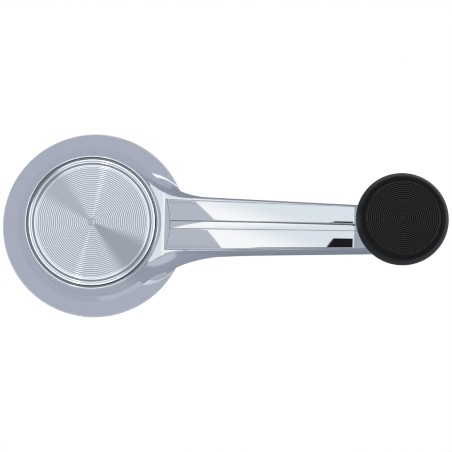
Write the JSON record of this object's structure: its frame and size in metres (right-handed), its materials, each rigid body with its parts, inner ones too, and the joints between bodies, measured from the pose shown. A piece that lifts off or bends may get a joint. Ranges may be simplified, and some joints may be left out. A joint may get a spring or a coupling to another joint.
{
  "type": "window crank handle",
  "caption": "Chrome window crank: round flanged hub with a ribbed bright disc, short arm with raised bars, and a black ribbed turning knob.",
  "frame": {"origin": "on the regulator shaft's axis, at the back face of the wear washer, where the handle meets the door trim", "axes": "+Z out of the door along the shaft axis, +X along the arm from the hub to the knob"},
  "size_m": [0.16, 0.068, 0.0449],
  "materials": {
    "chrome": "polished plating",
    "turned_aluminium": "turned rings, bright",
    "zinc_steel": "zinc plated",
    "foam": "closed-cell foam",
    "nylon": "moulded",
    "knob_plastic": "satin moulded",
    "bush_brass": "turned"
  },
  "bodies": {
    "mount": {"wear_washer": "nylon"},
    "crank": {"handle_casting": "chrome", "spline_insert": "zinc_steel", "lock_washer": "zinc_steel", "retaining_screw": "zinc_steel", "hub_disc": "turned_aluminium", "disc_pad": "foam", "knob_spindle": "zinc_steel", "spring_washer": "zinc_steel", "thrust_washer": "nylon"},
    "knob": {"knob_body": "knob_plastic", "knob_bush": "bush_brass", "knob_cap": "knob_plastic"}
  },
  "joints": [
    {"name": "crank_turn", "type": "hinge", "parent": "mount", "child": "crank", "pos_m": [0, 0, 0], "axis": [0, 0, 1], "continuous": true},
    {"name": "knob_spin", "type": "hinge", "parent": "crank", "child": "knob", "pos_m": [0.11, 0, 0], "axis": [0, 0, 1], "continuous": true}
  ]
}
